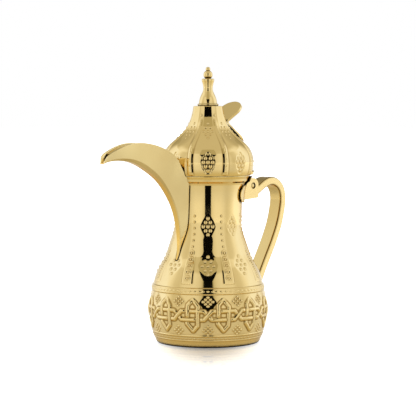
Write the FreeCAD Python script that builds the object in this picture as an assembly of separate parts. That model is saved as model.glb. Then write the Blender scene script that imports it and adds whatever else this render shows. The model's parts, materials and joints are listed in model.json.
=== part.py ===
import FreeCAD, Part
import math
import os

# Dallah coffee pot: a gold-finished metal pot with a waisted body, a crescent spout, a strap
# handle and an onion-domed lid that opens on a pin above the handle.
# Units are millimetres, +Z is up, and the origin is on the pot's axis at the foot of the base.
# The spout points along -X, the handle along +X, and XZ is the mirror plane.

V = FreeCAD.Vector
Y_AXIS = V(0, 1, 0)
Z_AXIS = V(0, 0, 1)

# ---- driving dimensions -------------------------------------------------------------------

WALL = 1.2                    # sheet thickness of the pot, the lid and the spout
BASE_TOP = 3.4                # height of the plain base ring
SEAM_Z = 52.0                 # where the belly meets the shoulder, under the rolled bead
BEAD_HEIGHT = 7.0
BEAD_PROUD = 2.0
NECK_TOP = 158.0
COLLAR_TOP = 167.0
SEAT_GAP = 0.3                # the closed lid's clearance above the collar
LID_TOP = 236.0

# Outside profiles as (radius, height), each one a smooth curve through its points.
BELLY = [(52.8, BASE_TOP), (55.1, 9.0), (57.0, 18.0), (58.5, 28.0), (59.0, 36.0), (58.1, 43.0),
         (56.7, 48.5), (55.2, SEAM_Z)]
SHOULDER = [(55.0, SEAM_Z + BEAD_HEIGHT), (53.2, 65.5), (50.4, 73.0), (47.0, 80.0), (43.4, 86.0),
            (40.0, 95.0), (37.0, 104.0), (34.9, 111.0), (34.0, 119.0), (34.0, 134.0),
            (34.6, 147.0), (36.5, NECK_TOP)]
COLLAR = [(36.5, NECK_TOP), (37.3, 160.0), (39.5, 161.6), (40.2, 164.0), (41.9, 166.4),
          (41.9, COLLAR_TOP)]
COLLAR_INSIDE = [(38.6, COLLAR_TOP), (36.8, 164.0), (35.6, 161.0), (35.3, NECK_TOP)]
DOME = [(42.9, COLLAR_TOP + SEAT_GAP), (44.5, 170.6), (45.6, 176.0), (45.9, 181.5), (44.9, 187.4),
        (42.6, 192.8), (38.6, 198.0), (34.2, 202.0), (29.7, 206.0), (25.5, 210.2), (22.0, 214.6),
        (19.3, 219.4), (17.4, 224.4), (15.9, 230.0), (14.9, LID_TOP)]

SPIGOT_TOP_R = 34.4           # the tapered ring that centres the lid in the mouth
SPIGOT_LOW_R = 33.2
SPIGOT_LOW_Z = 160.5
RIM_THICK = 1.4

HINGE_X = 56.2                # the lid's pin, which lies along Y
HINGE_Z = 155.0
PIN_R = 2.4
PIN_CLEARANCE = 0.05
KNUCKLE_R = 5.6
KNUCKLE_HALF = 3.8            # half the width of the lid's knuckle

LEAF_THICK = 1.5

THUMB_THICK = 2.3
THUMB_LEAN = math.radians(46) # the thumb petal's lean away from the vertical
THUMB_TIP = (38.7, 240.7)     # its tip, as (x, z) on the front face
THUMB_WAIST_Z = 220.5         # the petal starts here, above the foot petal
# Half widths of the two petals as (distance from the tip, half width).
THUMB_PETAL = [(0.0, 0.0), (0.9, 5.2), (3.6, 10.4), (7.8, 13.4), (12.9, 13.9), (19.0, 11.6),
               (24.5, 9.4), (29.5, 8.2)]
# Half widths of the foot petal as (z, half width), from the waist down.
FOOT_PETAL = [(222.5, 8.2), (218.0, 8.4), (214.0, 11.3), (210.0, 13.9), (206.0, 14.7),
              (202.0, 13.2), (199.0, 9.8), (197.0, 5.2), (196.2, 0.0)]

DISC_TOP = LID_TOP + 2.3      # the finial, from its disc to the ball on its tip
VASE_TOP = 263.2
BALL_R = 4.6
BALL_Z = 267.0
JOIN_Z = 270.8                # where the tip sits on the ball
TIP_R = 2.4
TIP_Z = 272.5
ROD_R = 2.0
ROD_HOLE_R = 2.1

HANDLE_WIDTH = 16.4
HANDLE_THICK = 8.4
HANDLE_EDGE_R = 1.9
TONGUE_HALF = 7.2             # half the width of the handle's end between the bracket's plates
HANDLE_PATH = [(38.0, 145.6), (48.0, 145.6), (57.0, 147.0), (65.8, 150.6), (73.8, 155.3),
               (81.0, 158.3), (87.8, 159.0), (95.5, 156.2), (100.6, 151.0), (102.9, 144.5),
               (103.3, 138.5), (102.0, 130.0), (98.5, 116.8), (92.8, 103.3), (85.8, 90.0),
               (79.0, 78.3), (73.2, 68.0), (69.0, 60.0), (64.5, 50.0), (59.5, 38.0)]

SADDLE_THICK = 2.5
SADDLE_END_R = 8.5            # the wings of the saddle end in half circles
SADDLE_MID_Z = 148.5
SADDLE_END_X = 10.7
SADDLE_TOP_Z = 166.0
SADDLE_TOP_X = 30.0           # the part that hugs the collar starts here

CHEEK_IN = 7.3                # the bracket's two plates, as distances from the mirror plane
CHEEK_OUT = 9.4
CHEEK_TOP_R = 7.8
CHEEK_BACK_X = 63.8
CHEEK_LOW_Z = 142.4           # the plates' lower corner at the back
CHEEK_ROOT_Z = 140.0          # the lower edge's height inside the neck
SINK_R = 3.3                  # the pin's ends lie in round sinkings in the plates
SINK_DEEP = 1.1

MOUTH_STATION = 11            # the spout is open on top in front of this station

# The spout's stations, from its foot to its tip. x is measured towards the tip, and each
# station gives the keel's (x, z), the top edge's (x, z), and half widths: at the keel, at
# the crease above the keel, and at the top edge. The last value is the crease's height.
SPOUT = [((46.5, 76.0), (28.0, 78.0), 0.7, 0.9, 1.4, 1.0),
         ((42.6, 90.0), (25.0, 94.0), 1.3, 1.6, 3.6, 1.0),
         ((41.3, 103.0), (22.0, 110.0), 2.1, 2.4, 6.2, 1.0),
         ((43.2, 119.5), (22.0, 130.0), 2.8, 3.1, 9.4, 1.1),
         ((48.2, 135.5), (25.0, 152.0), 3.2, 3.6, 9.8, 1.3),
         ((58.1, 151.2), (42.3, 168.7), 3.2, 4.0, 11.0, 1.8),
         ((70.6, 164.2), (52.5, 184.5), 3.2, 4.5, 10.1, 2.6),
         ((84.0, 172.7), (67.0, 194.2), 3.1, 4.9, 8.8, 3.4),
         ((98.0, 179.4), (86.3, 199.5), 3.0, 4.8, 7.7, 3.4),
         ((110.0, 182.6), (104.6, 200.2), 2.9, 4.3, 7.0, 2.9),
         ((121.0, 183.6), (119.8, 196.7), 2.8, 3.7, 6.6, 2.2),
         ((131.0, 183.3), (132.1, 191.8), 2.7, 3.2, 5.9, 1.5),
         ((141.1, 180.9), (139.2, 185.6), 2.5, 2.8, 4.3, 1.1)]
COVER_DEPTH = 1.4             # the cover lies this far below the cheeks' top edges


# ---- helpers ------------------------------------------------------------------------------

def at(x, z):
    """A point of the mirror plane."""
    return V(x, 0, z)


def curve(points):
    """A smooth edge through (x, z) points."""
    spline = Part.BSplineCurve()
    spline.interpolate([at(x, z) for x, z in points])
    return spline.toShape()


def lines(points):
    """Straight edges through (x, z) points."""
    return [Part.makeLine(at(*a), at(*b)) for a, b in zip(points, points[1:])]


def offset(points, distance):
    """The points moved along the curve's normal, outwards where distance is positive."""
    moved = []
    for i, (x, z) in enumerate(points):
        before = points[max(i - 1, 0)]
        after = points[min(i + 1, len(points) - 1)]
        dx, dz = after[0] - before[0], after[1] - before[1]
        length = math.hypot(dx, dz)
        moved.append((x + distance * dz / length, z - distance * dx / length))
    return moved


def revolved(edges):
    """A solid of revolution about the pot's axis from a closed outline."""
    face = Part.Face(Part.Wire(Part.__sortEdges__(edges)))
    return face.revolve(V(0, 0, 0), Z_AXIS, 360)


def ring(points):
    """A solid of revolution with a polygonal section."""
    return revolved(lines(points + points[:1]))


def disc_y(x, z, radius, y0, y1):
    """A round bar along Y."""
    return Part.makeCylinder(radius, y1 - y0, V(x, y0, z), Y_AXIS)


def plate_y(edges, y0, y1):
    """An outline of the mirror plane, extruded along Y."""
    face = Part.Face(Part.Wire(Part.__sortEdges__(edges)))
    face.translate(V(0, y0, 0))
    return face.extrude(V(0, y1 - y0, 0))


def mirrored(shape):
    """The same shape on the other side of the mirror plane."""
    return shape.mirror(V(0, 0, 0), Y_AXIS)


def largest(shape):
    """The largest solid of a cut result."""
    return max(shape.Solids, key=lambda solid: solid.Volume)


def rivet(base, direction, length, shank_r=1.2, head_r=2.2, head_h=1.0):
    """A round-headed rivet: the shank starts at base and the head tops it."""
    sphere_r = (head_r ** 2 + head_h ** 2) / (2 * head_h)
    shank = Part.makeCylinder(shank_r, length, V(0, 0, 0), Z_AXIS)
    ball = Part.makeSphere(sphere_r, V(0, 0, length + head_h - sphere_r))
    head = ball.common(Part.makeCylinder(head_r, head_h, V(0, 0, length), Z_AXIS))
    whole = shank.fuse(head).removeSplitter()
    whole.Placement = FreeCAD.Placement(base, FreeCAD.Rotation(Z_AXIS, direction))
    return whole


# ---- the pot's body -----------------------------------------------------------------------

def bead():
    """The rolled bead at the foot of the shoulder."""
    mid = at(BELLY[-1][0] + BEAD_PROUD, SEAM_Z + BEAD_HEIGHT / 2)
    return Part.Arc(at(*BELLY[-1]), mid, at(*SHOULDER[0])).toShape()


def pot_core():
    """Everything inside the pot's outside surface, for trimming what is fixed to it."""
    close = [COLLAR[-1], (0, COLLAR_TOP), (0, BASE_TOP), BELLY[0]]
    return revolved([curve(BELLY), bead(), curve(SHOULDER)] + lines(COLLAR) + lines(close))


def lower_body():
    inside = offset(BELLY, -WALL)
    inside[0] = (BELLY[0][0] - WALL, BASE_TOP)
    inside[-1] = (BELLY[-1][0] - WALL, SEAM_Z)
    ends = lines([BELLY[0], inside[0]]) + lines([BELLY[-1], inside[-1]])
    return revolved([curve(BELLY), curve(inside)] + ends)


def upper_body():
    inside = offset(SHOULDER, -WALL)
    inside[-1] = (SHOULDER[-1][0] - WALL, NECK_TOP)
    foot = [inside[0], (BELLY[-1][0] - WALL, SEAM_Z), BELLY[-1]]
    top = lines([SHOULDER[-1], inside[-1]])
    wall = revolved([bead(), curve(SHOULDER), curve(inside)] + lines(foot) + top)
    return wall.cut(strainer_holes())


def strainer_holes():
    """Rows of small holes through the neck's front, which the spout draws from."""
    hole_r, pitch, row_gap = 1.6, 4.4, 5.0
    holes = []
    for row in range(7):
        shift = (row % 2) * pitch / 2
        for column in (-1, 0, 1):
            y = column * pitch + shift
            if abs(y) <= pitch:
                start = V(-50, y, 114.0 + row * row_gap)
                holes.append(Part.makeCylinder(hole_r, 30, start, V(1, 0, 0)))
    return Part.makeCompound(holes)


def collar_ring():
    return ring(COLLAR + COLLAR_INSIDE)


def base_ring():
    return ring([(46.0, 0), (50.6, 0), (52.1, 1.4), (52.8, BASE_TOP), (46.0, BASE_TOP)])


def base_plate():
    radius = BELLY[0][0] - WALL - 0.1
    return ring([(0, BASE_TOP), (radius, BASE_TOP), (radius, BASE_TOP + WALL),
                 (0, BASE_TOP + WALL)])


# ---- the spout ----------------------------------------------------------------------------

def station_point(station, side, height):
    """A point of a station: side is across, height runs from the keel to the top edge."""
    (keel_x, keel_z), (top_x, top_z) = station[0], station[1]
    length = math.hypot(top_x - keel_x, top_z - keel_z)
    ratio = height / length
    return V(-(keel_x + (top_x - keel_x) * ratio), side, keel_z + (top_z - keel_z) * ratio)


def station_length(station):
    (keel_x, keel_z), (top_x, top_z) = station[0], station[1]
    return math.hypot(top_x - keel_x, top_z - keel_z)


def spout_loft(section, stations=SPOUT):
    """A loft whose section(station) gives (side, height) pairs."""
    wires = []
    for station in stations:
        points = [station_point(station, side, height) for side, height in section(station)]
        wires.append(Part.makePolygon(points + points[:1]))
    return Part.makeLoft(wires, True, False)


def keel_section(station):
    keel, crease, height = station[2], station[3], station[5]
    thin = min(WALL, keel * 0.55)
    outer = [(-crease, height), (-keel, 0), (keel, 0), (crease, height)]
    inner = [(crease - thin, height), (keel - thin, thin * 0.8),
             (thin - keel, thin * 0.8), (thin - crease, height)]
    return outer + inner


def cheek_section(station):
    keel, crease, top, height = station[2:]
    thin = min(WALL, keel * 0.55)
    length = station_length(station)
    return [(crease, height), (top, length), (top - thin, length), (crease - thin, height)]


def cover_section(station):
    """The cover reaches into the cheeks here, and is trimmed to them afterwards."""
    half = station[4] - WALL / 2
    high = station_length(station) - COVER_DEPTH
    return [(-half, high - WALL), (half, high - WALL), (half, high), (-half, high)]


def spout_parts(core, lid_room):
    left = largest(spout_loft(cheek_section).cut(core).cut(lid_room))
    right = mirrored(left)
    keel = largest(spout_loft(keel_section).cut(core).cut(left).cut(right))
    cover = spout_loft(cover_section, SPOUT[5:MOUTH_STATION + 1])
    cover = largest(cover.cut(core).cut(lid_room).cut(left).cut(right))
    return {"spout_keel": keel, "spout_cheek_left": left, "spout_cheek_right": right,
            "spout_cover": cover}


# ---- the handle and its bracket -----------------------------------------------------------

def rounded_section(width, thick, radius):
    """A rounded rectangle in the YZ plane at the origin, thick along Z."""
    solid = Part.makeBox(1, width, thick, V(0, -width / 2, -thick / 2))
    long_edges = [edge for edge in solid.Edges if abs(edge.tangentAt(edge.FirstParameter).x) > 0.9]
    solid = solid.makeFillet(radius, long_edges)
    face = min(solid.Faces, key=lambda item: item.CenterOfMass.x)
    return face.OuterWire


def handle_bar(core, saddle, foot):
    path = Part.Wire([curve(HANDLE_PATH)])
    section = rounded_section(HANDLE_WIDTH, HANDLE_THICK, HANDLE_EDGE_R)
    section.translate(at(*HANDLE_PATH[0]))
    bar = path.makePipeShell([section], True, False)
    bar = bar.cut(core).cut(saddle).cut(foot)
    for side in (TONGUE_HALF, -TONGUE_HALF - 5.0):
        bar = bar.cut(Part.makeBox(40.0, 5.0, 40.0, V(CHEEK_BACK_X + 0.8 - 40.0, side, 130.0)))
    ear_half = TONGUE_HALF
    ear = disc_y(HINGE_X, HINGE_Z, CHEEK_TOP_R - 1.4, -ear_half, ear_half)
    web = Part.makeBox(11.0, 2 * ear_half, 9.0, V(HINGE_X - 5.5, -ear_half, HINGE_Z - 9.0))
    bar = largest(bar).fuse(ear).fuse(web)
    slot_half = KNUCKLE_HALF + 0.5
    slot = disc_y(HINGE_X, HINGE_Z, KNUCKLE_R + 1.0, -slot_half, slot_half)
    return largest(bar.cut(slot).cut(disc_y(HINGE_X, HINGE_Z, PIN_R, -20, 20)))


def handle_foot(core):
    """A pad that follows the belly, with rounded ends."""
    half, low, high = 13.6, 32.5, 50.5
    grown = revolved([curve(offset(BELLY, 2.2))]
                     + lines([offset(BELLY, 2.2)[-1], (0, SEAM_Z), (0, BASE_TOP),
                              offset(BELLY, 2.2)[0]]))
    block = Part.makeBox(30, 2 * half, high - low, V(45, -half, low))
    corners = [edge for edge in block.Edges if abs(edge.tangentAt(edge.FirstParameter).x) > 0.9]
    return largest(grown.common(block.makeFillet(5.0, corners)).cut(core))


def saddle_shape(core):
    """The strap round the back of the neck that carries the bracket."""
    outer = offset(SHOULDER, SADDLE_THICK)
    flare = [(40.0, 159.2), (41.9, 160.6), (42.9, 163.0), (44.4, SADDLE_TOP_Z)]
    close = lines([flare[-1], (0, SADDLE_TOP_Z), (0, outer[6][1]), outer[6]])
    grown = revolved([curve(outer[6:])] + lines([outer[-1]] + flare) + close)
    low, high = SADDLE_MID_Z - SADDLE_END_R, SADDLE_MID_Z + SADDLE_END_R
    start = SADDLE_END_X + SADDLE_END_R
    end_arc = Part.Arc(at(start, low), at(SADDLE_END_X, SADDLE_MID_Z), at(start, high)).toShape()
    outline = lines([(start, high), (SADDLE_TOP_X, high), (SADDLE_TOP_X, SADDLE_TOP_Z),
                     (60.0, SADDLE_TOP_Z), (60.0, low), (start, low)])
    strap = plate_y(outline + [end_arc], -50, 50)
    return largest(grown.common(strap).cut(core))


def bracket_cheek(core, saddle):
    """One plate of the bracket, with a round top about the pin."""
    top = at(HINGE_X, HINGE_Z + CHEEK_TOP_R)
    slant = math.radians(45)
    mid = at(HINGE_X + CHEEK_TOP_R * math.sin(slant), HINGE_Z + CHEEK_TOP_R * math.cos(slant))
    side = at(CHEEK_BACK_X, HINGE_Z)
    arc = Part.Arc(top, mid, side).toShape()
    corner = 2.5
    low_mid = at(CHEEK_BACK_X - corner * 0.3, CHEEK_LOW_Z + corner * 0.3)
    low_arc = Part.Arc(at(CHEEK_BACK_X, CHEEK_LOW_Z + corner), low_mid,
                       at(CHEEK_BACK_X - corner, CHEEK_LOW_Z)).toShape()
    edges = [arc, low_arc]
    edges += lines([(CHEEK_BACK_X, HINGE_Z), (CHEEK_BACK_X, CHEEK_LOW_Z + corner)])
    edges += lines([(CHEEK_BACK_X - corner, CHEEK_LOW_Z), (30.0, CHEEK_ROOT_Z),
                    (30.0, HINGE_Z + CHEEK_TOP_R), (HINGE_X, HINGE_Z + CHEEK_TOP_R)])
    plate = plate_y(edges, CHEEK_IN, CHEEK_OUT)
    plate = plate.cut(disc_y(HINGE_X, HINGE_Z, PIN_R, 0, 20))
    plate = plate.cut(disc_y(HINGE_X, HINGE_Z, SINK_R, CHEEK_OUT - SINK_DEEP, 20))
    return largest(plate.cut(core).cut(saddle))


def hinge_pin():
    half = CHEEK_OUT - SINK_DEEP
    return disc_y(HINGE_X, HINGE_Z, PIN_R, -half, half)


def pin_heads():
    """The pin's two domed ends, in their sinkings."""
    head = rivet(V(HINGE_X, CHEEK_OUT - SINK_DEEP, HINGE_Z), Y_AXIS, 0.2, PIN_R, PIN_R, 0.9)
    return Part.makeCompound([head, mirrored(head)])


# ---- the lid ------------------------------------------------------------------------------

def dome_core(grow):
    """Everything inside the dome's outside surface, grown outwards."""
    outside = offset(DOME, grow) if grow else DOME
    close = [outside[-1], (0, outside[-1][1]), (0, outside[0][1]), outside[0]]
    return revolved([curve(outside)] + lines(close))


def lid_dome():
    inside = offset(DOME, -WALL)
    inside[-1] = (DOME[-1][0] - WALL, LID_TOP - WALL)
    top = lines([DOME[-1], (ROD_HOLE_R, LID_TOP), (ROD_HOLE_R, LID_TOP - WALL), inside[-1]])
    foot = lines([DOME[0], inside[0]])
    return revolved([curve(DOME), curve(inside)] + top + foot)


def lid_rim_ring(dome):
    """The flat ring that closes the dome's lower edge round the locating ring."""
    low = COLLAR_TOP + SEAT_GAP
    high = low + RIM_THICK
    blank = ring([(SPIGOT_TOP_R, low), (43.4, low), (43.4, high), (SPIGOT_TOP_R, high)])
    return largest(blank.common(dome_core(0)).cut(dome))


def lid_spigot():
    """The tapered locating ring, with a short lip turned in at its foot."""
    high = COLLAR_TOP + SEAT_GAP + RIM_THICK
    lip_r = SPIGOT_LOW_R - 2.0
    return ring([(SPIGOT_TOP_R - WALL, high), (SPIGOT_TOP_R, high), (SPIGOT_LOW_R, SPIGOT_LOW_Z),
                 (lip_r, SPIGOT_LOW_Z), (lip_r, SPIGOT_LOW_Z + 1.0),
                 (SPIGOT_LOW_R - WALL, SPIGOT_LOW_Z + 1.4)])


def prism_x(points):
    """An outline of (y, z) points, mirrored and extruded along +X."""
    outline = points + [(-y, z) for y, z in reversed(points)]
    corners = [V(0, y, z) for y, z in outline]
    return Part.Face(Part.makePolygon(corners + corners[:1])).extrude(V(80, 0, 0))


def hinge_leaf():
    """The leaf on the dome's lower back, with its arm and knuckle."""
    skin = dome_core(LEAF_THICK).cut(dome_core(0))
    low = COLLAR_TOP + SEAT_GAP + 0.2
    outline = [(33.5, low), (33.5, 170.4), (31.0, 171.4), (15.0, 173.0), (12.0, 186.0),
               (9.0, 188.0)]
    plate = largest(skin.common(prism_x(outline)))
    knuckle = disc_y(HINGE_X, HINGE_Z, KNUCKLE_R, -KNUCKLE_HALF, KNUCKLE_HALF)
    arm = plate_y(lines([(51.4, 157.6), (58.4, 159.9), (50.8, 174.0), (46.6, 179.0),
                         (45.8, 169.5), (51.4, 157.6)]), -KNUCKLE_HALF, KNUCKLE_HALF)
    arm = arm.cut(dome_core(0))
    leaf = plate.fuse(knuckle).fuse(arm)
    return largest(leaf.cut(disc_y(HINGE_X, HINGE_Z, PIN_R + PIN_CLEARANCE, -10, 10)))


def thumb_lever():
    """Two petals that meet at a narrow waist: one for the thumb, one down the dome's back."""
    room = dome_core(0)
    back = [point for point in DOME if point[1] > 194]
    outer = offset(back, THUMB_THICK)
    ends = lines([back[0], outer[0]]) + lines([back[-1], outer[-1]])
    sheet = plate_y([curve(back), curve(outer)] + ends, -20, 20)
    foot = sheet.common(petal_blank([V(0, half, z) for z, half in FOOT_PETAL], V(80, 0, 0)))
    pad = foot.common(Part.makeBox(80, 12, 60, V(0, -6, 190)))
    pad.translate(V(-1.0, 0, 0))

    along = V(-math.sin(THUMB_LEAN), 0, -math.cos(THUMB_LEAN))
    inward = V(math.cos(THUMB_LEAN), 0, -math.sin(THUMB_LEAN))
    side = [at(*THUMB_TIP) + along * down + V(0, half, 0) for down, half in THUMB_PETAL]
    petal = petal_blank(side, inward * THUMB_THICK)
    above = Part.makeBox(80, 60, 60, V(0, -30, THUMB_WAIST_Z))
    whole = largest(foot.fuse(pad).fuse(petal.common(above)).cut(room))
    return whole


def petal_blank(side, thrust):
    """A petal's blank: a smooth side edge and its mirror image, extruded along thrust."""
    right = Part.BSplineCurve()
    right.interpolate(side)
    left = Part.BSplineCurve()
    left.interpolate([V(point.x, -point.y, point.z) for point in side])
    edges = [right.toShape(), left.toShape()]
    for end in (side[0], side[-1]):
        if end.y > 0:
            edges.append(Part.makeLine(end, V(end.x, -end.y, end.z)))
    return Part.Face(Part.Wire(Part.__sortEdges__(edges))).extrude(thrust)


# ---- the finial ---------------------------------------------------------------------------

def finial_parts():
    disc = ring([(ROD_HOLE_R, LID_TOP), (10.0, LID_TOP), (10.5, LID_TOP + 0.6),
                 (10.5, DISC_TOP - 0.6), (10.0, DISC_TOP), (ROD_HOLE_R, DISC_TOP)])
    side = curve([(9.2, DISC_TOP), (8.8, 241.3), (7.3, 246.0), (4.9, 251.8), (4.9, 255.6),
                  (5.5, 258.6), (6.3, 261.2)])
    rest = lines([(6.3, 261.2), (6.3, 262.6), (5.5, VASE_TOP), (ROD_HOLE_R, VASE_TOP),
                  (ROD_HOLE_R, DISC_TOP), (9.2, DISC_TOP)])
    vase = revolved([side] + rest)
    slab = Part.makeCylinder(10, JOIN_Z - VASE_TOP, V(0, 0, VASE_TOP), Z_AXIS)
    ball = Part.makeSphere(BALL_R, V(0, 0, BALL_Z)).common(slab)
    rod_top = BALL_Z
    ball = ball.cut(Part.makeCylinder(ROD_HOLE_R, rod_top - VASE_TOP, V(0, 0, VASE_TOP), Z_AXIS))
    cap = Part.makeCylinder(10, 10, V(0, 0, JOIN_Z), Z_AXIS)
    tip = Part.makeSphere(TIP_R, V(0, 0, TIP_Z)).common(cap)
    rod_low = LID_TOP - 8.0
    rod = Part.makeCylinder(ROD_R, rod_top - rod_low - 0.2, V(0, 0, rod_low), Z_AXIS)
    return {"finial_disc": disc, "finial_vase": vase, "finial_ball": ball, "finial_tip": tip,
            "finial_rod": rod, "finial_nut": hex_nut(LID_TOP - WALL - 3.4, 3.4)}


def hex_nut(low, height):
    """The nut under the dome's top that holds the finial's rod."""
    corners = [V(4.0 * math.cos(math.radians(a)), 4.0 * math.sin(math.radians(a)), low)
               for a in range(0, 361, 60)]
    nut = Part.Face(Part.makePolygon(corners)).extrude(V(0, 0, height))
    return nut.cut(Part.makeCylinder(ROD_HOLE_R, height, V(0, 0, low), Z_AXIS))


# ---- rivets -------------------------------------------------------------------------------

def rivet_pair(radius, y, z, slope, length):
    """Two rivets at +y and -y, square to a surface at this radius and height.

    slope is the surface's lean above the horizontal, in degrees."""
    turn = math.atan2(y, math.sqrt(radius ** 2 - y ** 2))
    lean = math.radians(slope)
    out = V(math.cos(lean) * math.cos(turn), math.cos(lean) * math.sin(turn), math.sin(lean))
    base = V(radius * math.cos(turn), y, z) - out * (length - 0.2)
    one = rivet(base, out, length)
    return Part.makeCompound([one, mirrored(one)])


# ---- build and export ---------------------------------------------------------------------

def build():
    core = pot_core()
    lid_room = dome_core(0.6)
    saddle = saddle_shape(core)
    foot = handle_foot(core)
    lower = lower_body()
    upper = upper_body()
    dome = lid_dome()
    leaf = hinge_leaf()
    thumb = thumb_lever()
    foot_rivets = rivet_pair(60.3, 10.8, 44.5, 8.0, 4.4)
    leaf_rivets = rivet_pair(47.4, 7.4, 181.5, 8.0, 3.6)
    thumb_rivets = rivet_pair(31.9, 4.0, 206.0, 43.0, 4.6)

    nodes = {
        "base_ring": base_ring(),
        "base_plate": base_plate(),
        "lower_body": lower.cut(foot_rivets),
        "upper_body": upper,
        "collar_ring": collar_ring(),
        "handle_bar": handle_bar(core, saddle, foot),
        "handle_foot": foot.cut(foot_rivets),
        "handle_foot_rivets": foot_rivets,
        "hinge_saddle": saddle,
        "hinge_pin": hinge_pin(),
        "pin_heads": pin_heads(),
        "lid_dome": dome.cut(leaf_rivets).cut(thumb_rivets),
        "lid_rim_ring": lid_rim_ring(dome),
        "lid_spigot": lid_spigot(),
        "hinge_leaf": leaf.cut(leaf_rivets),
        "leaf_rivets": leaf_rivets,
        "thumb_lever": thumb.cut(thumb_rivets),
        "thumb_rivets": thumb_rivets,
    }
    cheek = bracket_cheek(core, saddle)
    nodes["bracket_cheek_right"] = cheek
    nodes["bracket_cheek_left"] = mirrored(cheek)
    nodes.update(spout_parts(core, lid_room))
    nodes.update(finial_parts())
    return nodes


os.makedirs("parts", exist_ok=True)
for name, shape in build().items():
    box = shape.BoundBox
    print(f"{name:20s} solids {len(shape.Solids)} volume {shape.Volume:9.1f} valid {shape.isValid()}"
          f" x {box.XMin:7.1f} {box.XMax:7.1f} y {box.YMin:6.1f} {box.YMax:6.1f}"
          f" z {box.ZMin:6.1f} {box.ZMax:6.1f}")
    shape.exportStep(f"parts/{name}.step")
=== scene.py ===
import json
import math
import bpy
import numpy as np
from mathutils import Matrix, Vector
from mathutils.bvhtree import BVHTree


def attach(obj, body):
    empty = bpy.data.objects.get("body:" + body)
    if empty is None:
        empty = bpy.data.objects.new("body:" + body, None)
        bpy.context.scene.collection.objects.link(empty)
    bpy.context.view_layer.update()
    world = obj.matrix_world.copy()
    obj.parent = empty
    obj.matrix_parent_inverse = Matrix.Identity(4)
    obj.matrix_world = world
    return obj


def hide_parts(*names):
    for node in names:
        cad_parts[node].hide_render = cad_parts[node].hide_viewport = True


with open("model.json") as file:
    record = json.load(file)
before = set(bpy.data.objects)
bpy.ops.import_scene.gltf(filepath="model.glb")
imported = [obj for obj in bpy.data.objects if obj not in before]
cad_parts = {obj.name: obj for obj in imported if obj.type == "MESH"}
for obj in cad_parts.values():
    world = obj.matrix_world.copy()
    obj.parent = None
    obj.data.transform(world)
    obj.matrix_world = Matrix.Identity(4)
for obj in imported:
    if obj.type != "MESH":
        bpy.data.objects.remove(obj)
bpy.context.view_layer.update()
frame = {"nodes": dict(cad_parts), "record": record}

# Looks of a dallah coffee pot: mirror-polished gold shells embossed with beads, ribs and an
# interlaced strap band, a satin spout and handle, and a hinged lid.
# Lengths are written in millimetres and turned into metres by MM.

MM = 0.001


# ---- curves -------------------------------------------------------------------------------

def spline(points, count):
    """A natural cubic spline through the points, by chord length, as count rows."""
    points = np.asarray(points, float)
    knots = np.concatenate([[0], np.cumsum(np.linalg.norm(np.diff(points, axis=0), axis=1))])
    gaps = np.diff(knots)
    n = len(points)
    system = np.zeros((n, n))
    right = np.zeros((n, points.shape[1]))
    system[0, 0] = system[-1, -1] = 1
    for i in range(1, n - 1):
        system[i, i - 1:i + 2] = gaps[i - 1], 2 * (gaps[i - 1] + gaps[i]), gaps[i]
        right[i] = 6 * ((points[i + 1] - points[i]) / gaps[i]
                        - (points[i] - points[i - 1]) / gaps[i - 1])
    bend = np.linalg.solve(system, right)
    at = np.linspace(0, knots[-1], count)
    span = np.clip(np.searchsorted(knots, at, side="right") - 1, 0, n - 2)
    gap = gaps[span][:, None]
    ahead = (knots[span + 1] - at)[:, None]
    behind = (at - knots[span])[:, None]
    return (bend[span] * ahead ** 3 / (6 * gap) + bend[span + 1] * behind ** 3 / (6 * gap)
            + (points[span] / gap - bend[span] * gap / 6) * ahead
            + (points[span + 1] / gap - bend[span + 1] * gap / 6) * behind)


def lengths(rows):
    """The distance along a polyline to each of its points."""
    return np.concatenate([[0], np.cumsum(np.linalg.norm(np.diff(rows, axis=0), axis=1))])


def respaced(rows, count):
    """A polyline with count evenly spaced points."""
    along = lengths(rows)
    at = np.linspace(0, along[-1], count)
    return np.stack([np.interp(at, along, rows[:, k]) for k in range(rows.shape[1])], axis=1)


# ---- meshes -------------------------------------------------------------------------------

SHARP_ANGLE = math.radians(50)


def mesh_object(name, points, faces):
    """A mesh object from points in millimetres."""
    mesh = bpy.data.meshes.new(name)
    mesh.from_pydata([tuple(p) for p in np.asarray(points) * MM], [], faces)
    mesh.validate()
    mesh.shade_smooth()
    mesh.set_sharp_from_angle(angle=SHARP_ANGLE)
    piece = bpy.data.objects.new(name, mesh)
    bpy.context.scene.collection.objects.link(piece)
    return piece


def closed_grid(rows, columns):
    """Quads of a grid numbered row by row, closed round each row and from last row to first."""
    faces = []
    for i in range(rows):
        low, high = i * columns, (i + 1) % rows * columns
        for j in range(columns):
            k = (j + 1) % columns
            faces.append((low + j, low + k, high + k, high + j))
    return faces


# ---- embossed shells of revolution --------------------------------------------------------

# The width over which a sunken ground's rim falls.
GROUND_EDGE = 0.35
# How far from raised work the painted shade of a crevice reaches, and how low a point must lie to
# take it in full.
CREVICE_REACH = 1.3
CREVICE_DEPTH = 0.28


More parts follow.
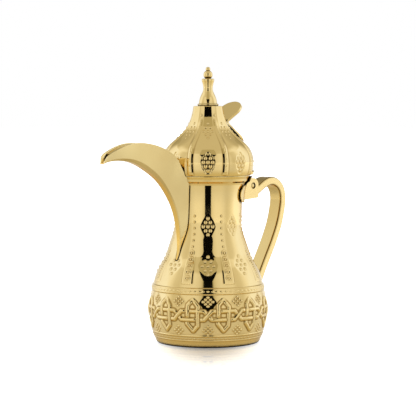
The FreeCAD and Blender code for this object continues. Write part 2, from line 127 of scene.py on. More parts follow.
class Shell:
    """A grid over a surface of revolution, whose relief is raised by stamps.

    rows holds (radius, height) pairs from the foot to the top. u is the distance round the
    pot and v the distance along the profile, in millimetres."""

    def __init__(self, rows, columns):
        self.rows = rows
        self.columns = columns
        self.radius = rows[:, 0]
        self.height = rows[:, 1]
        self.along = lengths(rows)
        self.angle = np.arange(columns) * 2 * math.pi / columns
        self.relief = np.zeros((len(rows), columns))
        self.dish = np.zeros((len(rows), columns))

    def v_at(self, height):
        """The profile distance at a height."""
        return float(np.interp(height, self.height, self.along))

    def radius_at(self, height):
        """The profile's radius at a height."""
        return float(np.interp(height, self.height, self.radius))

    def window(self, angle, v, reach_u, reach_v):
        """The grid's rows and columns near a point, with their u and v from it."""
        near = np.nonzero(np.abs(self.along - v) <= reach_v)[0]
        if len(near) == 0:
            return None
        radius = self.radius[near].mean()
        turn = (self.angle - angle + math.pi) % (2 * math.pi) - math.pi
        across = np.nonzero(np.abs(turn) * radius <= reach_u)[0]
        u = turn[across][None, :] * self.radius[near][:, None]
        return np.ix_(near, across), u, (self.along[near] - v)[:, None]

    def raise_to(self, where, height):
        """Raise the relief there to a height, unless it is higher already."""
        self.relief[where] = np.maximum(self.relief[where], height)

    def bead(self, angle, v, radius, height):
        """A round bead."""
        found = self.window(angle, v, radius * 1.2, radius * 1.2)
        if found:
            where, u, v_off = found
            far = (u ** 2 + v_off ** 2) / radius ** 2
            self.raise_to(where, height * np.clip(1 - far, 0, 1) ** 0.7)

    def circle(self, angle, v, radius, half_width, height):
        """A raised ring."""
        reach = radius + 2 * half_width
        found = self.window(angle, v, reach, reach)
        if found:
            where, u, v_off = found
            far = np.abs(np.hypot(u, v_off) - radius) / half_width
            self.raise_to(where, height * np.clip(1 - far ** 2, 0, 1))

    def hollow(self, angle, v, half_u, half_v, fullness=1.5):
        """A flat-bottomed lozenge dished into the round wall, rounder with more fullness."""
        found = self.window(angle, v, half_u, half_v)
        if found:
            where, u, v_off = found
            share = np.clip(np.abs(v_off) / half_v, 0, 1)
            half = half_u * (1 - share ** fullness)
            radius = np.interp(v, self.along, self.radius)
            self.dish[where] -= np.clip(half ** 2 - u ** 2, 0, None) / (2 * radius)

    def ground(self, angle, beads, margin, half_u):
        """A flat sunken ground that keeps close round beads, given as (u, v, radius)."""
        reach_v = max(v for u, v, radius in beads) - min(v for u, v, radius in beads)
        middle = min(v for u, v, radius in beads) + reach_v / 2
        where, u, v_off = self.window(angle, middle, half_u, reach_v / 2 + 4)
        inside = np.zeros(np.broadcast(u, v_off).shape)
        for bead_u, bead_v, radius in beads:
            far = np.hypot(u - bead_u, v_off + middle - bead_v)
            inside = np.maximum(inside, np.clip((radius + margin - far) / GROUND_EDGE, 0, 1))
        level = (half_u ** 2 - u ** 2) / (2 * np.interp(middle, self.along, self.radius))
        self.dish[where] -= np.clip(level, 0, None) * inside

    def facets(self, angles, half_angle, low, high):
        """Flat panels across the columns, fading in between two heights."""
        rise = np.clip((self.height - low) / (high - low), 0, 1)
        share = (rise ** 2 * (3 - 2 * rise))[:, None]
        for angle in angles:
            turn = np.abs((self.angle - angle + math.pi) % (2 * math.pi) - math.pi)
            flat = 1 - math.cos(half_angle) / np.cos(np.minimum(turn, half_angle))
            self.dish -= share * self.radius[:, None] * flat[None, :]

    def ridge(self, v, half_width, height):
        """A rounded ridge all round."""
        far = np.clip(1 - ((self.along - v) / half_width) ** 2, 0, 1)
        self.relief = np.maximum(self.relief, (height * far)[:, None])

    def strap(self, angle, points, half_width, lift):
        """A rounded strap along (u, v) points. lift(t) is its height at a share t of it."""
        points = np.asarray(points, float)
        middle = (points.min(0) + points.max(0)) / 2
        reach = (points.max(0) - points.min(0)) / 2 + half_width
        turn = middle[0] / self.radius[np.argmin(np.abs(self.along - middle[1]))]
        where, u, v_off = self.window(angle + turn, middle[1], reach[0] + 1, reach[1] + 1)
        u = u + middle[0]
        v = v_off + middle[1]
        along = lengths(points)
        best = np.full(np.broadcast(u, v).shape, 1e9)
        share = np.zeros_like(best)
        for k in range(len(points) - 1):
            start, step = points[k], points[k + 1] - points[k]
            t = np.clip(((u - start[0]) * step[0] + (v - start[1]) * step[1])
                        / (step @ step), 0, 1)
            far = np.hypot(u - start[0] - t * step[0], v - start[1] - t * step[1])
            share = np.where(far < best, (along[k] + t * (along[k + 1] - along[k]))
                             / along[-1], share)
            best = np.minimum(best, far)
        profile = np.clip(1 - (best / half_width) ** 2, 0, 1) ** 0.6
        self.raise_to(where, lift(share) * profile)

    def crevices(self):
        """How deep each point lies beside raised work, from 0 to 1, which sets the painted shade
        there.
        """
        spread = self.relief
        for axis, step in ((1, 2 * math.pi * self.radius.mean() / self.columns),
                           (0, self.along[-1] / len(self.rows))):
            reach = max(1, round(CREVICE_REACH / step))
            spread = sum(np.roll(spread, k, axis) for k in range(-reach, reach + 1))
            spread = spread / (2 * reach + 1)
        return np.clip((spread - self.relief) / CREVICE_DEPTH, 0, 1)

    def surface(self):
        """The outer surface's points."""
        d_radius = np.gradient(self.radius, self.along)
        d_height = np.gradient(self.height, self.along)
        rise = self.relief + self.dish
        radius = self.radius[:, None] + d_height[:, None] * rise
        height = self.height[:, None] - d_radius[:, None] * rise
        return np.stack([radius * np.cos(self.angle), radius * np.sin(self.angle), height], axis=2)


def shell_object(name, shell, inside):
    """A closed shell: the embossed outside, and the plain inside given from top to foot."""
    outer = shell.surface().reshape(-1, 3)
    around = np.stack([np.cos(shell.angle), np.sin(shell.angle)], axis=1)
    inner = np.array([[r * c, r * s, z] for r, z in inside for c, s in around])
    points = np.concatenate([outer, inner])
    faces = closed_grid(len(shell.rows) + len(inside), shell.columns)
    piece = mesh_object(name, points, faces)
    # The crevice layer carries painted shade beside the raised work.
    level = np.concatenate([shell.crevices().ravel(), np.zeros(len(inner))])
    layer = piece.data.attributes.new("crevice", "FLOAT", "POINT")
    layer.data.foreach_set("value", level.astype(np.float32))
    return piece


# How far from a joint its painted shade reaches, in millimetres.
JOINT_SHADE_REACH = 1.7


def mark_joints(piece, *nodes):
    """Note on each outer point how near it is to the nodes, from 0 to 1, for painted shade along
    the joint.
    """
    corners, faces = [], []
    for node in nodes:
        mesh = frame["nodes"][node].data
        faces += [tuple(len(corners) + k for k in face.vertices) for face in mesh.polygons]
        corners += [v.co for v in mesh.vertices]
    tree = BVHTree.FromPolygons(corners, faces)
    level = np.zeros(len(piece.data.vertices), np.float32)
    for k, point in enumerate(piece.data.vertices):
        far = tree.find_nearest(point.co, JOINT_SHADE_REACH * MM)[3]
        if far is not None:
            level[k] = max(0.0, JOINT_SHADE_REACH - far / MM)
    layer = piece.data.attributes.new("joint", "FLOAT", "POINT")
    layer.data.foreach_set("value", np.minimum(level, 1))
    return piece


DIAMOND_ROWS = (1, 2, 3, 2, 1)


def diamond(shell, angle, height, step_v, step_u, radius, rise):
    """Beads set in a diamond: step_v between its rows, and step_u round the pot."""
    centre = shell.v_at(height)
    for row, count in enumerate(DIAMOND_ROWS):
        v = centre + (len(DIAMOND_ROWS) // 2 - row) * step_v
        row_radius = np.interp(v, shell.along, shell.radius)
        for k in range(count):
            u = (k - (count - 1) / 2) * step_u
            shell.bead(angle + u / row_radius, v, radius, rise)


# The camera's side, in degrees.
FIRST_COLUMN = -135


def columns_at(count, start=0.0):
    """Angles of evenly spaced columns, the first one facing the camera, or start degrees on."""
    return [math.radians(FIRST_COLUMN + start + 360 / count * k) for k in range(count)]


# How steeply a rib's flanks rise, as height over width, then the line along each edge and how
# far its beads and their rings stand out of it.
RIB_SLOPE = 0.37
LINE_RISE = 0.2
LINE_HALF = 0.45
BEAD_RISE = 0.65
RING_RISE = 0.42


def rib(shell, angle, low, high, half_low, half_high, flank, heights, bead_radius, ring_below,
        full, fading):
    """A raised panel that narrows upwards, edged with lines and studded with beads.

    It is at its full height up to the share full of its length, and fades out above that, the
    faster the larger fading is. Beads at heights below ring_below have a ring round them."""
    v_low, v_high = shell.v_at(low), shell.v_at(high)
    reach = max(half_low, half_high) + 1.5
    middle = (v_low + v_high) / 2
    where, u, v_off = shell.window(angle, middle, reach, (v_high - v_low) / 2 + 1)
    v = v_off + middle
    share = np.clip((v - v_low) / (v_high - v_low), 0, 1)
    half = half_low + (half_high - half_low) * share
    ends = np.clip((v - v_low) / 0.5, 0, 1) * np.clip((1 - share) / (1 - full), 0, 1) ** fading
    side = np.clip(half + 0.3 - np.abs(u), 0, flank)
    line = LINE_RISE * np.clip(1 - ((np.abs(u) - half + flank) / LINE_HALF) ** 2, 0, 1)
    shell.raise_to(where, (RIB_SLOPE * side + line) * ends)
    for height in heights:
        v_bead = shell.v_at(height)
        here = (v_bead - v_low) / (v_high - v_low)
        under = RIB_SLOPE * flank * min(1, max(0, (1 - here) / (1 - full))) ** fading
        shell.bead(angle, v_bead, bead_radius, under + BEAD_RISE)
        if height < ring_below:
            shell.circle(angle, v_bead, radius=2.4, half_width=0.5, height=under + RING_RISE)


# ---- the lid, the shoulder and the belly --------------------------------------------------

WALL = 1.2
LID_TOP = 236.0
LID_WIDEST = 45.5
STUD_HOLE = 2.1
# The inside corners where the two body shells meet and where the base plate sits.
SHELL_SEAM = (54.0, 52.0)
BASE_EDGE = (50.8, 3.4)
# The relief repeats round the lid and the neck in this many sides, up to a plain neck.
SIDES = 8
PLAIN_ABOVE = 134.0
BORDER_BEADS = 80
BORDER_BEAD = 0.85
# The profiles as (radius, height) points from foot to top.
DOME = [(42.9, 167.3), (44.5, 170.6), (45.6, 176.0), (45.9, 181.5), (44.9, 187.4),
        (42.6, 192.8), (38.6, 198.0), (34.2, 202.0), (29.7, 206.0), (25.5, 210.2),
        (22.0, 214.6), (19.3, 219.4), (17.4, 224.4), (15.9, 230.0), (14.9, 235.7)]
SHOULDER = [(55.0, 59.0), (53.2, 65.5), (50.4, 73.0), (47.0, 80.0), (43.4, 86.0), (40.0, 95.0),
            (37.0, 104.0), (34.9, 111.0), (34.0, 119.0), (34.0, 134.0), (34.6, 147.0),
            (36.5, 158.0)]
BELLY = [(52.8, 3.4), (55.1, 9.0), (57.0, 18.0), (58.5, 28.0), (59.0, 36.0), (58.1, 43.0),
         (56.9, 48.5), (56.2, 52.0)]
BORDER = [(56.2, 52.0), (56.5, 53.4), (56.6, 55.4), (56.2, 57.4), (55.0, 59.0)]


def inset(rows, distance, count):
    """The rows moved inwards, thinned out to count, and turned to run from top to foot."""
    slope = np.gradient(rows, axis=0)
    slope /= np.linalg.norm(slope, axis=1)[:, None]
    inner = rows - distance * np.stack([slope[:, 1], -slope[:, 0]], axis=1)
    return respaced(inner, count)[::-1]


def beaded_border(shell, height, rise):
    """A row of small beads all round."""
    for k in range(BORDER_BEADS):
        shell.bead(math.radians(360 / BORDER_BEADS * k), shell.v_at(height), BORDER_BEAD, rise)


# The bunch of beads low on each side of the lid: height, distance to one side, radius.
CLUSTER = [(188.6, 0, 0.7), (185.0, -2.4, 1.45), (185.0, 2.4, 1.45), (181.0, -4.5, 1.5),
           (181.0, 0, 1.6), (181.0, 4.5, 1.5), (176.8, -2.4, 1.6), (176.8, 2.4, 1.6),
           (172.6, 0, 1.6)]


def lid_dome():
    """The lid: eight flat sides with beads in bunches and diamonds, and a rib between each two."""
    rows = respaced(spline(DOME, 400), 130)
    shell = Shell(rows, columns=640)
    shell.facets(columns_at(SIDES), half_angle=math.radians(13), low=196, high=216)
    for angle in columns_at(SIDES):
        shell.ground(angle, [(side, shell.v_at(height), radius)
                             for height, side, radius in CLUSTER], margin=1.8, half_u=7.2)
        for height, side, radius in CLUSTER:
            shell.bead(angle + side / LID_WIDEST, shell.v_at(height), radius, 0.44 * radius)
        diamond(shell, angle, 211.2, step_v=4.6, step_u=4.4, radius=1.1, rise=0.65)
    bead_heights = [171.9 + 6.1 * k for k in range(10)]
    for angle in columns_at(SIDES, 180 / SIDES):
        rib(shell, angle, 168.0, LID_TOP, half_low=3.1, half_high=1.9, flank=1.8,
            heights=bead_heights, bead_radius=0.95, ring_below=0, full=0.6, fading=1.3)
    top_rim = [(14.2, LID_TOP), (10.0, LID_TOP), (STUD_HOLE, LID_TOP),
               (STUD_HOLE, LID_TOP - WALL)]
    inside = top_rim + [tuple(p) for p in inset(rows, WALL, 14)[1:]]
    return shell_object("lid_dome_embossed", shell, inside)


def upper_body():
    """The neck and shoulder, with beads in dished lozenges and ribs that fade out upwards."""
    border = spline(BORDER, 26)
    wall = spline(SHOULDER, 500)
    fine = respaced(wall[wall[:, 1] < PLAIN_ABOVE], 126)
    plain = respaced(wall[wall[:, 1] >= PLAIN_ABOVE], 7)
    rows = np.concatenate([border, fine[1:], plain])
    shell = Shell(rows, columns=560)
    for angle in columns_at(SIDES):
        shell.hollow(angle, shell.v_at(117.5), half_u=7.6, half_v=13.0)
        diamond(shell, angle, 117.5, step_v=4.0, step_u=4.7, radius=1.4, rise=0.62)
        shell.hollow(angle, shell.v_at(80.2), half_u=9.5, half_v=14.0)
        diamond(shell, angle, 80.2, step_v=4.7, step_u=5.8, radius=1.35, rise=0.7)
    bead_heights = [67.9 + 6.0 * k for k in range(11)]
    for angle in columns_at(SIDES, 180 / SIDES):
        rib(shell, angle, 62.5, 136.0, half_low=5.6, half_high=3.4, flank=1.2,
            heights=bead_heights, bead_radius=1.0, ring_below=95, full=0.0, fading=3.2)
    beaded_border(shell, 55.9, rise=0.4)
    shell.ridge(shell.v_at(58.2), half_width=0.8, height=0.5)
    shell.ridge(shell.v_at(53.4), half_width=0.8, height=0.45)
    inside = [tuple(p) for p in inset(np.concatenate([fine, plain]), WALL, 16)]
    return shell_object("upper_body_embossed", shell, inside + [SHELL_SEAM])


# One knot of the strap band, as (round, height) points from its middle. The straps cross
# halfway between knots, and each one runs high in one knot and low in the next.
KNOTS = 12
KNOT_PITCH = math.radians(360 / KNOTS)
CROSS_Z = 32.7
HIGH_Z = 36.9
LOW_Z = 28.3
BEND_U = 11.4
LOOP = [(-5.0, 32.5), (-5.0, 42.4), (0.0, 47.8), (5.6, 41.0), (5.2, 36.5), (5.1, 32.5),
        (5.1, 22.4), (0.4, 17.2), (-5.6, 24.4), (-5.0, 28.3), (-5.0, 32.5)]
# How far the loop's two long sides stand from its middle.
LOOP_SIDES = (5.0, 5.1)
STRAP_HALF = 1.95
STRAP_RISE = 1.45
# The share of its rise that a strap loses where it passes under another.
UNDERPASS = 0.72


def dips(shares, reach):
    """A strap's lift along its length: it sinks where it passes under another."""
    def lift(share):
        level = np.ones_like(share)
        for under in shares:
            away = np.abs(share - under)
            level -= UNDERPASS * np.clip(1 - (away / reach) ** 2, 0, 1)
        return STRAP_RISE * level
    return lift


def knot(shell, angle):
    """Two crossing straps of the band, woven through an upright loop."""
    half = KNOT_PITCH / 2 * shell.radius_at(CROSS_Z)

    def to_v(points):
        return [(u, shell.v_at(z)) for u, z in points]

    upper = [(-half, CROSS_Z), (-BEND_U, HIGH_Z), (BEND_U, HIGH_Z), (half, CROSS_Z)]
    lower = [(-half, CROSS_Z), (-BEND_U, LOW_Z), (BEND_U, LOW_Z), (half, CROSS_Z)]
    left, right = 0.5 - LOOP_SIDES[0] / (2 * half), 0.5 + LOOP_SIDES[1] / (2 * half)
    shell.strap(angle, to_v(upper), STRAP_HALF, dips([left, 1.0], reach=0.11))
    shell.strap(angle, to_v(lower), STRAP_HALF, dips([0.0, right], reach=0.11))
    shell.strap(angle, to_v(LOOP), STRAP_HALF, dips([0.25, 0.945], reach=0.05))


def lower_body():
    """The belly, with its band of knots and small diamonds, and a beaded border at the foot."""
    rows = respaced(spline(BELLY, 300), 108)
    shell = Shell(rows, columns=720)
    for angle in columns_at(KNOTS, 180 / KNOTS):
        knot(shell, angle)
    for angle in columns_at(KNOTS):
        shell.hollow(angle, shell.v_at(45.0), half_u=8.6, half_v=9.0, fullness=1.3)
        diamond(shell, angle, 45.9, step_v=2.1, step_u=4.6, radius=1.2, rise=0.75)
        diamond(shell, angle, 17.6, step_v=2.0, step_u=4.4, radius=1.1, rise=0.65)
    beaded_border(shell, 9.5, rise=0.42)
    shell.ridge(shell.v_at(12.0), half_width=0.8, height=0.4)
    shell.ridge(shell.v_at(7.2), half_width=0.8, height=0.4)
    inside = [tuple(p) for p in inset(rows, WALL, 12)]
    inside[0] = SHELL_SEAM
    inside[-1] = BASE_EDGE
    return shell_object("lower_body_embossed", shell, inside)


# ---- materials ----------------------------------------------------------------------------

def new_material(name):
    material = bpy.data.materials.new(name)
    material.use_nodes = True
    tree = material.node_tree
    shader = tree.nodes["Principled BSDF"]
    return material, tree, shader


def noise(tree, scale, detail, stretch=(1, 1, 1)):
    """A noise texture over the object's own coordinates."""
    place = tree.nodes.new("ShaderNodeTexCoord")
    mapping = tree.nodes.new("ShaderNodeMapping")
    mapping.inputs["Scale"].default_value = stretch
    texture = tree.nodes.new("ShaderNodeTexNoise")
    texture.inputs["Scale"].default_value = scale
    texture.inputs["Detail"].default_value = detail
    tree.links.new(place.outputs["Object"], mapping.inputs["Vector"])
    tree.links.new(mapping.outputs["Vector"], texture.inputs["Vector"])
    return texture.outputs["Fac"]


def ramp(tree, value, stops, colors=False):
    """A colour ramp of (position, value) stops."""
    node = tree.nodes.new("ShaderNodeValToRGB")
    elements = node.color_ramp.elements
    while len(elements) < len(stops):
        elements.new(0.5)
    for element, (position, level) in zip(elements, stops):
        element.position = position
        element.color = (*level, 1) if colors else (level, level, level, 1)
    tree.links.new(value, node.inputs["Fac"])
    return node.outputs["Color"]


def bump(tree, height, strength, distance, previous=None):
    node = tree.nodes.new("ShaderNodeBump")
    node.inputs["Strength"].default_value = strength
    node.inputs["Distance"].default_value = distance
    tree.links.new(height, node.inputs["Height"])
    if previous:
        tree.links.new(previous, node.inputs["Normal"])
    return node.outputs["Normal"]


# The colour sockets of a Mix node.
MIX_A, MIX_B, MIX_RESULT = 6, 7, 2


def multiplied(tree, first, second):
    mix = tree.nodes.new("ShaderNodeMix")
    mix.data_type = "RGBA"
    mix.blend_type = "MULTIPLY"
    mix.inputs["Factor"].default_value = 1.0
    tree.links.new(first, mix.inputs[MIX_A])
    tree.links.new(second, mix.inputs[MIX_B])
    return mix.outputs[MIX_RESULT]


def math_node(tree, operation, first, second=None, third=None):
    node = tree.nodes.new("ShaderNodeMath")
    node.operation = operation
    for socket, value in zip(node.inputs, (first, second, third)):
        if value is None:
            continue
        if isinstance(value, (int, float)):
            socket.default_value = value
        else:
            tree.links.new(value, socket)
    return node.outputs[0]


def eased(tree, value, low, high):
    """0 below low, 1 above high, and a smooth step between them."""
    node = tree.nodes.new("ShaderNodeMapRange")
    node.interpolation_type = "SMOOTHSTEP"
    node.inputs["From Min"].default_value = low
    node.inputs["From Max"].default_value = high
    tree.links.new(value, node.inputs["Value"])
    return node.outputs["Result"]


def blended(tree, share, first, second):
    """A mix of two colours, each a socket or a plain level."""
    mix = tree.nodes.new("ShaderNodeMix")
    mix.data_type = "RGBA"
    tree.links.new(share, mix.inputs["Factor"])
    for socket, value in ((mix.inputs[MIX_A], first), (mix.inputs[MIX_B], second)):
        if isinstance(value, float):
            socket.default_value = (value, value, value, 1)
        else:
            tree.links.new(value, socket)
    return mix.outputs[MIX_RESULT]


def distance(tree, place):
    """How far a point is from the middle."""
    node = tree.nodes.new("ShaderNodeVectorMath")
    node.operation = "LENGTH"
    tree.links.new(place, node.inputs[0])
    return node.outputs["Value"]


def facing(tree):
    """The x, y and z parts of the piece's own surface direction."""
    place = tree.nodes.new("ShaderNodeTexCoord")
    split = tree.nodes.new("ShaderNodeSeparateXYZ")
    tree.links.new(place.outputs["Normal"], split.inputs["Vector"])
    return split.outputs


LIGHT_GOLD = (0.93, 0.71, 0.31)
DEEP_GOLD = (0.91, 0.68, 0.28)
# Painted light: a brighter copy of the satin gold for the spout's sides.
SPOUT_GOLD_LIT = (1.0, 0.80, 0.37)
# Painted light: an amber reflection painted on undersides, and near-black shade painted into
# corners and gaps.
UNDERSIDE_AMBER_REFLECTION = (0.98, 0.87, 0.55)
CORNER_SHADE = (0.02, 0.015, 0.008)
POLISHED_ROUGH = (0.035, 0.075)
SATIN_ROUGH = (0.13, 0.19)
# Painted shade: tones by how deep a point lies beside raised work, and by how near it is to a
# joint.
CREVICE_SHADE = [(0.1, (1, 1, 1)), (0.8, (0.50, 0.40, 0.24))]
JOINT_SHADE = [(0.15, (1, 1, 1)), (0.75, (0.03, 0.02, 0.01))]


def with_painted_shade(tree, tone, slight, full, reach):
    """The tone with painted shade in corners and gaps, and a painted amber reflection underneath.

    slight and full say how far a surface faces down where the amber starts and is whole, and
    reach how wide a gap may be, in metres."""
    # Painted reflection: surfaces that face down turn amber.
    below = math_node(tree, "MULTIPLY", facing(tree)[2], -1.0)
    tone = multiplied(tree, tone, ramp(tree, below, [(slight, (1, 1, 1)), (full, UNDERSIDE_AMBER_REFLECTION)],
                                       colors=True))
    # Painted shade: ambient occlusion darkens corners and gaps.
    shelter = tree.nodes.new("ShaderNodeAmbientOcclusion")
    shelter.samples = 6
    shelter.inputs["Distance"].default_value = reach
    shade = ramp(tree, shelter.outputs["AO"], [(0.50, CORNER_SHADE), (0.80, (1, 1, 1))], colors=True)
    return multiplied(tree, tone, shade)


def gold(name, recess=False):
    """Gold plate: its tone and gloss drift a little, and fine scratches cross it.

    With recess it gets painted shade where the mesh is marked as a crevice or a joint."""
    material, tree, shader = new_material(name)
    shader.inputs["Metallic"].default_value = 1.0
    tone = ramp(tree, noise(tree, 28, 4), [(0.3, LIGHT_GOLD), (0.75, DEEP_GOLD)], colors=True)
    if recess:
        for mark, stops in (("crevice", CREVICE_SHADE), ("joint", JOINT_SHADE)):
            level = tree.nodes.new("ShaderNodeAttribute")
            level.attribute_name = mark
            tone = multiplied(tree, tone, ramp(tree, level.outputs["Fac"], stops, colors=True))
    # Painted shade in corners and gaps, and a painted amber reflection underneath.
    tone = with_painted_shade(tree, tone, slight=0.15, full=0.5, reach=0.004)
    tree.links.new(tone, shader.inputs["Base Color"])
    gloss = ramp(tree, noise(tree, 60, 5), list(zip((0.3, 0.8), POLISHED_ROUGH)))
    tree.links.new(gloss, shader.inputs["Roughness"])
    ripple = bump(tree, noise(tree, 45, 2), 0.10, 0.0006)
    hair = bump(tree, noise(tree, 420, 2, (1, 1, 0.12)), 0.05, 0.00012, ripple)
    tree.links.new(hair, shader.inputs["Normal"])
    return material


# Painted shade and reflection round the edge of a bent piece, by how far its surface faces
# sideways: a painted dark line along a strap's rounded edges, and under the spout a painted amber
# reflection on the fold with a painted crease line beside it.
STRAP_EDGE_SHADE = [(0.22, (1, 1, 1)), (0.50, (0.30, 0.24, 0.13)), (0.72, (0.30, 0.24, 0.13)),
              (0.93, (1, 1, 1))]
FOLD_SHADE_AND_REFLECTION = [(0.0, (0.95, 0.80, 0.45)), (0.16, (0.62, 0.47, 0.22)), (0.34, (1, 1, 1)),
             (0.82, (1, 1, 1)), (0.91, (0.72, 0.66, 0.50)), (0.98, (1, 1, 1))]


def satin(name, light=LIGHT_GOLD, deep=DEEP_GOLD, edge=None, strap=False):
    """Brushed gold plate, with its grain running up the piece.

    edge holds the painted shade and reflection tones round a bent piece's edge, which also gets a
    painted amber reflection underneath. A strap gets painted shade on its inside and top."""
    material, tree, shader = new_material(name)
    shader.inputs["Metallic"].default_value = 1.0
    tone = ramp(tree, noise(tree, 22, 4), [(0.3, light), (0.75, deep)], colors=True)
    x, y, z = facing(tree)
    if edge:
        # Painted shade and reflection, by which way the edge faces.
        tone = multiplied(tree, tone, ramp(tree, math_node(tree, "ABSOLUTE", y), edge, colors=True))
    if strap:
        # Painted shade on the strap's inside and top, by which way the surface faces.
        inside = ramp(tree, math_node(tree, "MULTIPLY", x, -1.0),
                      [(0.15, (1, 1, 1)), (0.75, (0.80, 0.76, 0.64))], colors=True)
        top = ramp(tree, z, [(0.55, (1, 1, 1)), (0.95, (0.52, 0.50, 0.46))], colors=True)
        tone = multiplied(tree, multiplied(tree, tone, inside), top)
    # Where the painted amber reflection underneath starts and is whole.
    slight, full = (0.45, 0.85) if edge else (0.92, 1.0)
    tree.links.new(with_painted_shade(tree, tone, slight, full, reach=0.002), shader.inputs["Base Color"])
    gloss = ramp(tree, noise(tree, 90, 5), list(zip((0.3, 0.8), SATIN_ROUGH)))
    tree.links.new(gloss, shader.inputs["Roughness"])
    grain = bump(tree, noise(tree, 900, 3, (1, 1, 0.08)), 0.12, 0.00010)
    tree.links.new(grain, shader.inputs["Normal"])
    return material


def steel(name):
    """Plain grey steel, a little uneven in tone and gloss."""
    material, tree, shader = new_material(name)
    shader.inputs["Metallic"].default_value = 1.0
    tone = ramp(tree, noise(tree, 80, 4), [(0.3, (0.62, 0.61, 0.59)), (0.8, (0.5, 0.49, 0.47))],
                colors=True)
    tree.links.new(tone, shader.inputs["Base Color"])
    gloss = ramp(tree, noise(tree, 160, 4), [(0.3, 0.28), (0.8, 0.42)])
    tree.links.new(gloss, shader.inputs["Roughness"])
    return material


# ---- the studio ---------------------------------------------------------------------------

CAMERA_AZIMUTH = math.radians(-45)
CAMERA_SIDE = -math.pi / 2 + CAMERA_AZIMUTH
CAMERA_DISTANCE = 1.63
CAMERA_HEIGHT = 0.227
AIM_HEIGHT = 0.134


def camera():
    """A long lens at the height of the lid, aimed at the middle of the pot."""
    data = bpy.data.cameras.new("camera")
    data.sensor_width = 36.0
    data.lens = 141.0
    data.clip_end = 50.0
    item = bpy.data.objects.new("camera", data)
    bpy.context.scene.collection.objects.link(item)
    item.location = (CAMERA_DISTANCE * math.sin(CAMERA_AZIMUTH),
                     -CAMERA_DISTANCE * math.cos(CAMERA_AZIMUTH), CAMERA_HEIGHT)
    aim = Vector((0, 0, AIM_HEIGHT)) - item.location
    item.rotation_euler = aim.to_track_quat("-Z", "Y").to_euler()
    bpy.context.scene.camera = item


# The studio's brightness round the pot, as (degrees from the camera's side, level), near the
# table, at the height of the pot's shoulder and at the top of the cards: a dark gap by the
# camera, a pale front card on either side of it, a bright softbox at each side, and a dim room
# behind.
NEAR_TABLE = [(0, 0.004), (9.3, 0.004), (11.5, 0.42), (14, 0.60), (20, 0.76), (27, 0.84),
              (55, 0.80), (66, 0.63), (76, 0.66), (88, 0.90), (100, 1.10), (130, 1.02),
              (142, 0.80), (152, 0.78), (180, 0.85)]
SHOULDER_HIGH = [(0, 0.004), (9.3, 0.004), (11.5, 0.45), (14, 0.62), (20, 0.75), (30, 0.84),
                 (55, 0.84), (66, 0.68), (78, 0.74), (90, 0.97), (110, 1.08), (128, 0.95),
                 (144, 0.40), (155, 0.33), (180, 0.36)]
CARD_TOPS = [(0, 0.42), (12, 0.46), (20, 0.58), (40, 0.66), (60, 0.70), (75, 0.85), (90, 0.98),
             (110, 0.88), (130, 0.52), (150, 0.45), (180, 0.45)]
# What the table adds to its own reflections, at the same angles.
TABLE_GLOW = [(0, 0.10), (42, 0.10), (57, 0.0), (66, 0.0), (84, 0.08), (100, 0.20), (115, 0.20),
              (140, 0.08), (180, 0.08)]
CEILING = 0.60
# These two keep the numbers in the ramps between 0 and 1.
BRIGHTEST = 1.25
STRENGTH = 1.6
# The elevations in degrees between which each layer gives way to the next one up.
LAYERS = ((8, 24), (37.5, 41), (44, 58))
# The light's colour at each level: the softboxes are cooler than the dim room.
LIGHT_TINT = [(0.0, (0, 0, 0)), (0.15, (0.15, 0.15, 0.12)), (0.35, (0.41, 0.38, 0.27)),
              (0.65, (0.69, 0.67, 0.61)), (0.95, (0.96, 0.98, 1.05)), (1.15, (1.07, 1.19, 1.55))]


def from_camera_side(tree, place):
    """The angle round the pot from the camera's side, as a share of half a turn."""
    split = tree.nodes.new("ShaderNodeSeparateXYZ")
    tree.links.new(place, split.inputs["Vector"])
    azimuth = math_node(tree, "ARCTAN2", split.outputs["Y"], split.outputs["X"])
    turn = math_node(tree, "WRAP", math_node(tree, "SUBTRACT", azimuth, CAMERA_SIDE),
                     math.pi, -math.pi)
    return math_node(tree, "DIVIDE", math_node(tree, "ABSOLUTE", turn), math.pi)


def studio():
    """The world: the studio in reflections, and plain white where the camera sees it."""
    world = bpy.data.worlds.new("studio")
    bpy.context.scene.world = world
    world.use_nodes = True
    tree = world.node_tree
    place = tree.nodes.new("ShaderNodeTexCoord")
    split = tree.nodes.new("ShaderNodeSeparateXYZ")
    tree.links.new(place.outputs["Generated"], split.inputs["Vector"])
    z = split.outputs["Z"]
    share = from_camera_side(tree, place.outputs["Generated"])
    level, high, tops = [ramp(tree, share, [(a / 180, bright / BRIGHTEST) for a, bright in stops])
                         for stops in (NEAR_TABLE, SHOULDER_HIGH, CARD_TOPS)]
    for (start, end), above in zip(LAYERS, (high, tops, CEILING / BRIGHTEST)):
        climb = eased(tree, z, math.sin(math.radians(start)), math.sin(math.radians(end)))
        level = blended(tree, climb, level, above)
    tint = ramp(tree, level, [(at / BRIGHTEST, tuple(c / STRENGTH for c in color))
                              for at, color in LIGHT_TINT], colors=True)
    background = tree.nodes["Background"]
    tree.links.new(tint, background.inputs["Color"])
    background.inputs["Strength"].default_value = STRENGTH
    plain = tree.nodes.new("ShaderNodeBackground")
    plain.inputs["Color"].default_value = (1, 1, 1, 1)
    ray = tree.nodes.new("ShaderNodeLightPath")
    choose = tree.nodes.new("ShaderNodeMixShader")
    tree.links.new(ray.outputs["Is Camera Ray"], choose.inputs["Fac"])
    tree.links.new(background.outputs[0], choose.inputs[1])
    tree.links.new(plain.outputs[0], choose.inputs[2])
    tree.links.new(choose.outputs[0], tree.nodes["World Output"].inputs["Surface"])


def stage_piece(name, corners, material):
    mesh = bpy.data.meshes.new(name)
    mesh.from_pydata(corners, [], [tuple(range(len(corners)))])
    item = bpy.data.objects.new(name, mesh)
    bpy.context.scene.collection.objects.link(item)
    item.data.materials.append(material)
    return item


TABLE_SIZE = 20.0
# The table's own glow beside the pot, and how much the camera sees it gain away from the pot.
GLOW_BY_POT = 0.14
GLOW_GAIN = 0.80
# How much faster it brightens to the sides than towards the camera.
SIDEWAYS = 3.5


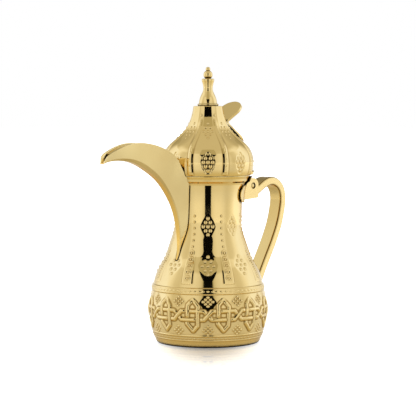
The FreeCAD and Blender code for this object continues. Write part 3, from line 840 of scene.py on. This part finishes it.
def floor():
    """A glossy white table top that brightens away from the pot and its reflection."""
    material, tree, shader = new_material("table_top")
    shader.inputs["Base Color"].default_value = (0.76, 0.76, 0.76, 1)
    shader.inputs["Roughness"].default_value = 0.04
    shader.inputs["IOR"].default_value = 1.55
    place = tree.nodes.new("ShaderNodeTexCoord")
    narrow = tree.nodes.new("ShaderNodeMapping")
    narrow.vector_type = "TEXTURE"
    narrow.inputs["Rotation"].default_value = (0, 0, CAMERA_SIDE)
    narrow.inputs["Scale"].default_value = (1, 1 / SIDEWAYS, 1)
    tree.links.new(place.outputs["Object"], narrow.inputs["Vector"])
    seen = eased(tree, distance(tree, narrow.outputs["Vector"]), 0.05, 0.24)
    seen = math_node(tree, "MULTIPLY_ADD", seen, GLOW_GAIN, GLOW_BY_POT)
    away = distance(tree, place.outputs["Object"])
    lit = ramp(tree, from_camera_side(tree, place.outputs["Object"]),
               [(a / 180, gain) for a, gain in TABLE_GLOW])
    mirrored = math_node(tree, "MULTIPLY", eased(tree, away, 0.12, 0.60), lit)
    mirrored = math_node(tree, "ADD", mirrored, GLOW_BY_POT)
    near = math_node(tree, "SUBTRACT", 1.0, eased(tree, away, 3.0, 9.0))
    mirrored = math_node(tree, "MULTIPLY", mirrored, near)
    ray = tree.nodes.new("ShaderNodeLightPath")
    glow = tree.nodes.new("ShaderNodeMix")
    tree.links.new(ray.outputs["Is Camera Ray"], glow.inputs["Factor"])
    tree.links.new(mirrored, glow.inputs["A"])
    tree.links.new(seen, glow.inputs["B"])
    shader.inputs["Emission Color"].default_value = (1, 1, 1, 1)
    tree.links.new(glow.outputs["Result"], shader.inputs["Emission Strength"])
    corners = [(x * TABLE_SIZE, y * TABLE_SIZE, 0) for x, y in ((-1, -1), (1, -1), (1, 1), (-1, 1))]
    stage_piece("table_top", corners, material)


def front_point(away, turn, height):
    """A point that far from the pot, turned round it from the camera's side."""
    return away * math.cos(CAMERA_SIDE + turn), away * math.sin(CAMERA_SIDE + turn), height


def card(name, brightness, corners):
    """A card that only shows in reflections, with corners from front_point."""
    material, tree, shader = new_material(name)
    shader.inputs["Base Color"].default_value = (0.004, 0.004, 0.004, 1)
    shader.inputs["Specular IOR Level"].default_value = 0.0
    shader.inputs["Emission Color"].default_value = (*brightness, 1)
    shader.inputs["Emission Strength"].default_value = 1.0
    item = stage_piece(name, [front_point(*corner) for corner in corners], material)
    item.visible_camera = False
    item.visible_diffuse = False
    item.visible_shadow = False


def dark_gap():
    """The dark gap by the camera: on the table, flaring above it, and closed by a dim card."""
    near, far, spread, lift = 0.29, 1.6, math.radians(10), 0.001
    card("gap_on_table", (0, 0, 0), [(near, -spread, lift), (far, -spread, lift),
                                     (far, spread, lift), (near, spread, lift)])
    away, foot, middle, top, flare = 0.645, 0.40, 0.60, 1.25, math.radians(23)
    card("gap_flare", (0, 0, 0), [(away, -spread, foot), (away, spread, foot),
                                  (away, flare, middle), (away, -flare, middle)])
    card("gap_closing", (0.50, 0.47, 0.36), [(away, -flare, middle), (away, flare, middle),
                                             (away, flare, top), (away, -flare, top)])


# ---- assembly -----------------------------------------------------------------------------

def finish_piece(piece, body, slot, material, *replaced):
    """Give a new piece its look, hang it on the body it rides on, and hide the parts it stands in
    for.
    """
    piece.data.materials.clear()
    piece.data.materials.append(material)
    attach(piece, body)
    if replaced:
        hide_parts(*replaced)


bpy.context.scene.view_settings.view_transform = "Standard"
camera()
studio()
floor()
dark_gap()

polished = gold("gold_polished")
embossed = gold("gold_embossed", recess=True)
brushed = satin("gold_satin")
# The spout's sides get the brighter, painted-light copy of the satin gold.
spout_side = satin("gold_satin_spout", SPOUT_GOLD_LIT, LIGHT_GOLD)
special = {
    "spout_cheek_left": spout_side, "spout_cheek_right": spout_side,
    "handle_bar": satin("gold_satin_strap", edge=STRAP_EDGE_SHADE, strap=True),
    "spout_keel": satin("gold_satin_fold", edge=FOLD_SHADE_AND_REFLECTION)}
plain_steel = steel("steel_plain")

finish_piece(lid_dome(), "lid", "gold_polished", embossed, "lid_dome")
# Painted shade along the joints of the spout and hinge saddle with the neck.
neck = mark_joints(upper_body(), "spout_cheek_left", "spout_cheek_right", "spout_keel",
                   "hinge_saddle")
finish_piece(neck, "pot", "gold_polished", embossed, "upper_body")
finish_piece(lower_body(), "pot", "gold_polished", embossed, "lower_body")

looks = {"gold_polished": polished, "gold_satin": brushed, "steel_inside": plain_steel}
for part in frame["record"]["subparts"]:
    node = frame["nodes"][part["node"]]
    node.data.materials.clear()
    node.data.materials.append(special.get(part["node"], looks[part["material_slot"]]))
